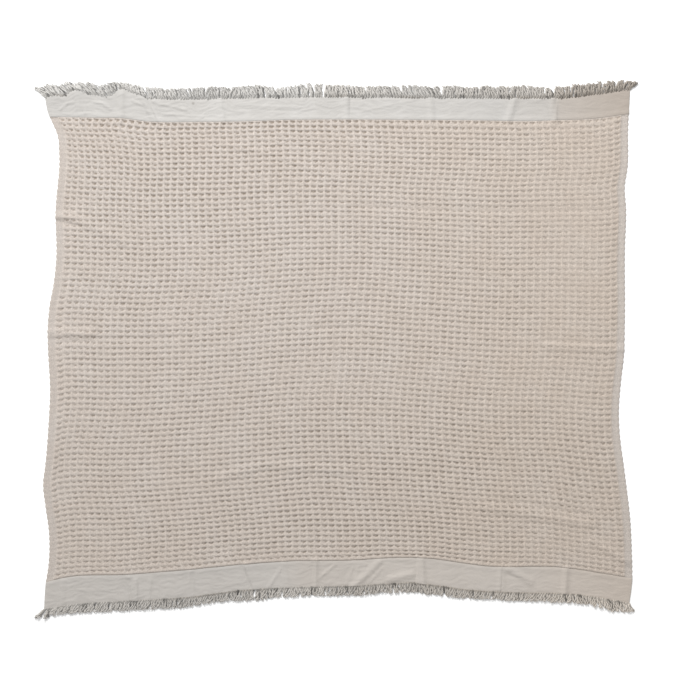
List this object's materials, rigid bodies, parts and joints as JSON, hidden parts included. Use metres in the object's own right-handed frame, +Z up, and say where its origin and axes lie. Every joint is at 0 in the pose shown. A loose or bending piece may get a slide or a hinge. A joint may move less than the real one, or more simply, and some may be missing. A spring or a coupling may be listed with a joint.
{
  "type": "waffle weave cotton blanket",
  "caption": "Rectangular cotton waffle weave blanket laid out flat, with plain woven bands and a short cut fringe at both ends.",
  "frame": {"origin": "on the floor under the middle of the blanket's overall box, fringe included", "axes": "+X along the fringed ends, +Y from the lower fringe to the upper fringe, +Z up through the cloth"},
  "size_m": [1.5026, 1.3562, 0.009],
  "materials": {
    "waffle_cotton": "matt undyed cotton, warm beige, in a deep waffle weave with paler plain woven bands",
    "fringe_cotton": "matt grey-beige cotton yarn, cut and softly curled"
  },
  "bodies": {
    "root": {"blanket_cloth": "waffle_cotton", "fringe_upper": "fringe_cotton", "fringe_lower": "fringe_cotton"}
  },
  "joints": []
}
